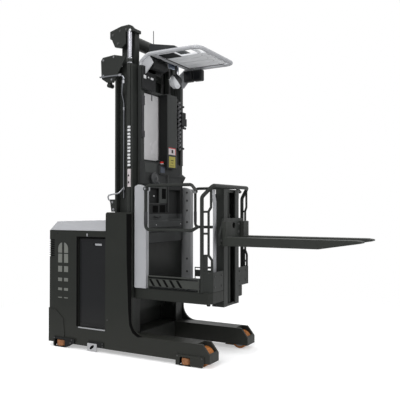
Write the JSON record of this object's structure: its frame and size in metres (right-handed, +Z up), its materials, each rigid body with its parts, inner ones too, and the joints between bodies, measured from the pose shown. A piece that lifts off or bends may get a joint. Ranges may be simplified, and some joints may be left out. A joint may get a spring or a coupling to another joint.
{
  "type": "order picker truck",
  "caption": "battery order picker truck with a rising operator cabin on a two-stage mast and a fork lift on the cabin",
  "frame": {"origin": "on the floor, midway between the rear bumper and the fork tips, on the centre line", "axes": "+X points to the fork tips, +Y to the truck's left, +Z up"},
  "size_m": [3.25, 1.036, 3.284],
  "materials": {
    "chassis_green": "satin",
    "light_grey": "satin",
    "battery_grey": "matte",
    "door_blue": "satin",
    "iron": "matte",
    "orange_tread": "satin",
    "mast_green": "satin",
    "chrome": "polished",
    "steel": "satin",
    "rubber_mat": "matte",
    "smoked_screen": "clear",
    "black": "matte",
    "cable_black": "matte",
    "white": "gloss",
    "mirror": "polished",
    "fork_black": "satin"
  },
  "bodies": {
    "chassis": {"chassis_body": "chassis_green", "battery": "battery_grey", "drive_motor": "iron", "leg_near": "chassis_green", "leg_far": "chassis_green", "outer_mast": "mast_green", "lift_cylinder_near": "mast_green", "lift_cylinder_far": "mast_green", "hose_box": "mast_green", "hydraulic_pipe": "steel"},
    "hood": {"hood": "light_grey"},
    "door_near": {"battery_door_near": "door_blue"},
    "door_far": {"battery_door_far": "door_blue"},
    "drive_head": {"steer_leg": "iron"},
    "drive_wheel": {"drive_wheel": "orange_tread"},
    "load_wheels_near": {"load_wheels_near": "orange_tread"},
    "load_wheels_far": {"load_wheels_far": "orange_tread"},
    "roller_front_near": {"guide_roller_front_near": "orange_tread"},
    "roller_front_far": {"guide_roller_front_far": "orange_tread"},
    "roller_rear_near": {"guide_roller_rear_near": "orange_tread"},
    "roller_rear_far": {"guide_roller_rear_far": "orange_tread"},
    "mast": {"inner_mast": "mast_green", "lift_rod_near": "chrome", "lift_rod_far": "chrome", "lift_chain_near": "iron", "lift_chain_far": "iron"},
    "cab": {"cab_carriage": "mast_green", "cab_floor": "chassis_green", "floor_mat": "rubber_mat", "cab_post_near": "light_grey", "cab_post_far": "light_grey", "cab_frame": "mast_green", "mast_screen": "smoked_screen", "console": "black", "steering_knob": "black", "coil_cable": "cable_black", "roof_frame": "light_grey", "roof_slats": "light_grey", "roof_cover": "black", "roof_lamp": "white", "work_lamps": "black", "cab_mirror": "mirror", "horn": "black", "front_guard": "mast_green", "front_trim_near": "light_grey", "front_trim_far": "light_grey", "fork_mast": "mast_green"},
    "fork_lift": {"fork_carriage": "mast_green", "fork_near": "fork_black", "fork_far": "fork_black"},
    "gate_near": {"side_gate_near": "mast_green"},
    "gate_far": {"side_gate_far": "mast_green"}
  },
  "joints": [
    {"name": "mast_lift", "type": "slide", "parent": "chassis", "child": "mast", "axis": [0, 0, 1], "range_m": [-0.16, 1.75]},
    {"name": "cab_lift", "type": "slide", "parent": "mast", "child": "cab", "axis": [0, 0, 1], "range_m": [-0.16, 1.75]},
    {"name": "fork_slide", "type": "slide", "parent": "cab", "child": "fork_lift", "axis": [0, 0, 1], "range_m": [-0.5, 0.25]},
    {"name": "hood_hinge", "type": "hinge", "parent": "chassis", "child": "hood", "pos_m": [-1.62, 0, 1.234], "axis": [0, -1, 0], "range_deg": [0, 70]},
    {"name": "door_near_hinge", "type": "hinge", "parent": "chassis", "child": "door_near", "pos_m": [-1.202, -0.467, 0.6925], "axis": [0, 0, -1], "range_deg": [0, 90]},
    {"name": "door_far_hinge", "type": "hinge", "parent": "chassis", "child": "door_far", "pos_m": [-1.202, 0.467, 0.6925], "axis": [0, 0, 1], "range_deg": [0, 90]},
    {"name": "steer", "type": "hinge", "parent": "chassis", "child": "drive_head", "pos_m": [-1.41, 0, 0.39], "axis": [0, 0, 1], "range_deg": [-90, 90]},
    {"name": "drive_wheel_spin", "type": "hinge", "parent": "drive_head", "child": "drive_wheel", "pos_m": [-1.41, 0, 0.155], "axis": [0, 1, 0], "continuous": true},
    {"name": "load_wheels_near_spin", "type": "hinge", "parent": "chassis", "child": "load_wheels_near", "pos_m": [0.215, -0.411, 0.0875], "axis": [0, 1, 0], "continuous": true},
    {"name": "roller_front_near_spin", "type": "hinge", "parent": "chassis", "child": "roller_front_near", "pos_m": [0.07, -0.468, 0.044], "axis": [0, 0, 1], "continuous": true},
    {"name": "roller_rear_near_spin", "type": "hinge", "parent": "chassis", "child": "roller_rear_near", "pos_m": [-1.457, -0.456, 0.044], "axis": [0, 0, 1], "continuous": true},
    {"name": "gate_near_hinge", "type": "hinge", "parent": "cab", "child": "gate_near", "pos_m": [-0.385, -0.485, 1.645], "axis": [0, -1, 0], "range_deg": [0, 85]},
    {"name": "load_wheels_far_spin", "type": "hinge", "parent": "chassis", "child": "load_wheels_far", "pos_m": [0.215, 0.411, 0.0875], "axis": [0, 1, 0], "continuous": true},
    {"name": "roller_front_far_spin", "type": "hinge", "parent": "chassis", "child": "roller_front_far", "pos_m": [0.07, 0.468, 0.044], "axis": [0, 0, 1], "continuous": true},
    {"name": "roller_rear_far_spin", "type": "hinge", "parent": "chassis", "child": "roller_rear_far", "pos_m": [-1.457, 0.456, 0.044], "axis": [0, 0, 1], "continuous": true},
    {"name": "gate_far_hinge", "type": "hinge", "parent": "cab", "child": "gate_far", "pos_m": [-0.385, 0.485, 1.645], "axis": [0, -1, 0], "range_deg": [0, 85]}
  ],
  "couplings": [
    {"joint": "cab_lift", "follows": "mast_lift", "ratio": 1}
  ]
}
